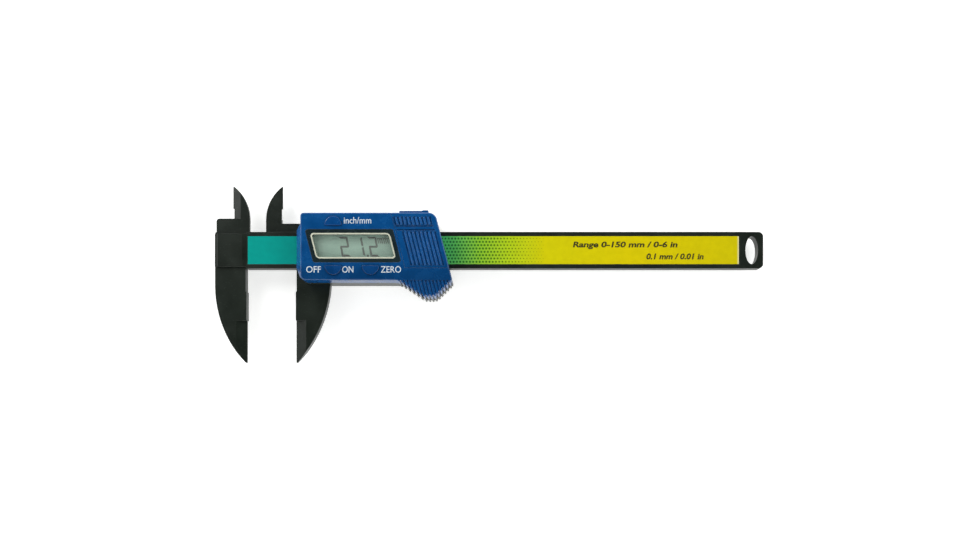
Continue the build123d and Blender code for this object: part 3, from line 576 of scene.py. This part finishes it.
def dotTree(material):
    # screen-printed dots in staggered rows that grow behind the slider and shrink away to the right
    tree, inputs = startTree("printed dots", {
        "Columns": "NodeSocketInt", "Rows": "NodeSocketInt",
        "Length": "NodeSocketFloat", "Height": "NodeSocketFloat",
        "Corner": "NodeSocketVector", "Pitch": "NodeSocketFloat", "Row": "NodeSocketFloat",
        "Biggest": "NodeSocketFloat", "Thick": "NodeSocketFloat"})
    grid = addNode(tree, "GeometryNodeMeshGrid", None, {
        "Size X": inputs.outputs["Length"], "Size Y": inputs.outputs["Height"],
        "Vertices X": inputs.outputs["Columns"], "Vertices Y": inputs.outputs["Rows"]})
    where = addNode(tree, "GeometryNodeInputPosition").outputs["Position"]
    parts = addNode(tree, "ShaderNodeSeparateXYZ", None, {"Vector": where})
    count = addNode(tree, "ShaderNodeMath", {"operation": "DIVIDE"}, {
        0: parts.outputs["Y"], 1: inputs.outputs["Row"]})
    rowShift = 100.25    # keeps the row's number positive and clear of the step in floor
    near = addNode(tree, "ShaderNodeMath", {"operation": "ADD"}, {0: count.outputs["Value"], 1: rowShift})
    whole = addNode(tree, "ShaderNodeMath", {"operation": "FLOOR"}, {0: near.outputs["Value"]})
    odd = addNode(tree, "ShaderNodeMath", {"operation": "MODULO"}, {0: whole.outputs["Value"], 1: 2.0})
    half = addNode(tree, "ShaderNodeMath", {"operation": "MULTIPLY"}, {
        0: odd.outputs["Value"], 1: inputs.outputs["Pitch"]})
    shift = addNode(tree, "ShaderNodeMath", {"operation": "MULTIPLY"}, {0: half.outputs["Value"], 1: 0.5})
    offset = addNode(tree, "ShaderNodeCombineXYZ", None, {"X": shift.outputs["Value"]})
    moved = addNode(tree, "GeometryNodeSetPosition", None, {
        "Geometry": grid.outputs["Mesh"], "Offset": offset.outputs["Vector"]})
    placed = addNode(tree, "GeometryNodeSetPosition", None, {
        "Geometry": moved.outputs["Geometry"], "Offset": inputs.outputs["Corner"]})
    disc = addNode(tree, "GeometryNodeMeshCylinder", None, {
        "Vertices": dots["sides"], "Radius": inputs.outputs["Biggest"],
        "Depth": inputs.outputs["Thick"]})
    halfLength = addNode(tree, "ShaderNodeMath", {"operation": "MULTIPLY"}, {
        0: inputs.outputs["Length"], 1: 0.5})
    firstX = addNode(tree, "ShaderNodeMath", {"operation": "MULTIPLY"}, {
        0: halfLength.outputs["Value"], 1: -1.0})
    fullX = addNode(tree, "ShaderNodeMath", {"operation": "MULTIPLY"}, {
        0: halfLength.outputs["Value"], 1: dots["fullFrom"]})
    rising = addNode(tree, "ShaderNodeMapRange", None, {
        "Value": parts.outputs["X"], "From Min": firstX.outputs["Value"], "From Max": fullX.outputs["Value"],
        "To Min": dots["leftSize"], "To Max": 1.0})
    falling = addNode(tree, "ShaderNodeMapRange", None, {
        "Value": parts.outputs["X"], "From Min": 0.0, "From Max": halfLength.outputs["Value"],
        "To Min": 1.0, "To Max": dots["rightSize"]})
    size = addNode(tree, "ShaderNodeMath", {"operation": "MULTIPLY"}, {
        0: rising.outputs["Result"], 1: falling.outputs["Result"]})
    spread = addNode(tree, "GeometryNodeInstanceOnPoints", None, {
        "Points": placed.outputs["Geometry"], "Instance": disc.outputs["Mesh"],
        "Scale": size.outputs["Value"]})
    endTree(tree, spread.outputs["Instances"], material)
    return tree


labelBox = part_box("scale_label")
labelMiddle = (labelBox[0][1] + labelBox[1][1]) / 2 / mm
dotLength = (dots["columns"] - 1) * dots["pitch"]
growPiece("labelDots", dotTree(dotInk), {
    "Columns": dots["columns"], "Rows": dots["rows"], "Length": dotLength * mm,
    "Height": (dots["rows"] - 1) * dots["row"] * mm, "Pitch": dots["pitch"] * mm, "Row": dots["row"] * mm,
    "Corner": Vector((dots["start"] + dotLength / 2, labelMiddle, labelTop + dots["thick"] / 2)) * mm,
    "Biggest": dots["radius"] * mm, "Thick": dots["thick"] * mm}, dotInk, "beam_body")
print("ribs and dots done")


# a bright band of light all round and a dark ceiling, so that flat faces keep their full colour
stage = {"size": 3.0, "key": 3.4, "fill": 1.0, "band": 2.2, "overhead": 0.04, "bandTop": 0.4, "darkFrom": 0.75,
         "floorDark": "f1f1ef", "floorLight": "f6f6f5", "floorGlow": "fbfcfb", "floorPower": 0.6,
         "floorRough": 0.9, "floorShine": 0.1, "floorCloud": 3.0}


def makeFloor():
    # a light table: white, faintly lit from below, so it holds only a trace of shadow
    material, tree, shader, place = startMaterial("opal light table", {
        "Roughness": stage["floorRough"], "Specular IOR Level": stage["floorShine"],
        "Emission Color": toLinear(stage["floorGlow"]), "Emission Strength": stage["floorPower"]})
    cloud = addNode(tree, "ShaderNodeTexNoise", None, {"Vector": place, "Scale": stage["floorCloud"]})
    colour = ramp(tree, cloud.outputs["Fac"], [
        (middling[0], toLinear(stage["floorDark"])), (middling[1], toLinear(stage["floorLight"]))])
    tree.links.new(colour, shader.inputs["Base Color"])
    half = stage["size"] / 2
    mesh = bpy.data.meshes.new("floor")
    corners = [(-half, -half, 0), (half, -half, 0), (half, half, 0), (-half, half, 0)]
    mesh.from_pydata(corners, [], [[0, 1, 2, 3]])
    mesh.materials.append(material)
    floor = bpy.data.objects.new("floor", mesh)
    bpy.context.collection.objects.link(floor)


def makeLight(name, place, aim, size, power):
    data = bpy.data.lights.new(name, "AREA")
    data.shape = "DISK"
    data.size = size
    data.energy = power
    lamp = bpy.data.objects.new(name, data)
    lamp.location = place
    lamp.rotation_euler = (Vector(aim) - Vector(place)).to_track_quat("-Z", "Y").to_euler()
    bpy.context.collection.objects.link(lamp)


def makeSky():
    world = bpy.data.worlds.new("studio")
    world.use_nodes = True
    tree = world.node_tree
    up = addNode(tree, "ShaderNodeSeparateXYZ", None, {
        "Vector": addNode(tree, "ShaderNodeTexCoord").outputs["Generated"]})
    height = addNode(tree, "ShaderNodeMapRange", {"interpolation_type": "SMOOTHSTEP"}, {
        "Value": up.outputs["Z"], "From Min": stage["bandTop"], "From Max": stage["darkFrom"],
        "To Min": stage["band"], "To Max": stage["overhead"]})
    light = tree.nodes["Background"]
    light.inputs["Color"].default_value = (1.0, 1.0, 1.0, 1.0)
    tree.links.new(height.outputs["Result"], light.inputs["Strength"])
    bpy.context.scene.world = world


# the lens looks straight down from below the jaw tips and is shifted up to frame the caliper; lengths are in
# mm, across is what the frame spans at the focus distance, and rise is a share of the frame's width
shot = {"height": 346.7, "back": -65.8, "across": 420.6, "focus": 340.0, "rise": 0.155419, "sensor": 36.0}


def makeCamera():
    data = bpy.data.cameras.new("camera")
    data.sensor_fit = "HORIZONTAL"
    data.sensor_width = shot["sensor"]
    data.lens = shot["sensor"] * shot["focus"] / shot["across"]
    data.shift_y = shot["rise"]
    data.clip_start = 0.01
    camera = bpy.data.objects.new("camera", data)
    camera.location = (0.0, shot["back"] * mm, shot["height"] * mm)
    bpy.context.collection.objects.link(camera)
    bpy.context.scene.camera = camera


makeFloor()
makeSky()
makeLight("key", (-0.6, 0.55, 0.4), (-0.03, 0.0, 0.0), 0.5, stage["key"])
makeLight("fill", (0.65, -0.5, 0.4), (0.0, 0.0, 0.0), 0.6, stage["fill"])
makeCamera()
bpy.context.scene.view_settings.view_transform = "Standard"
print("stage done")
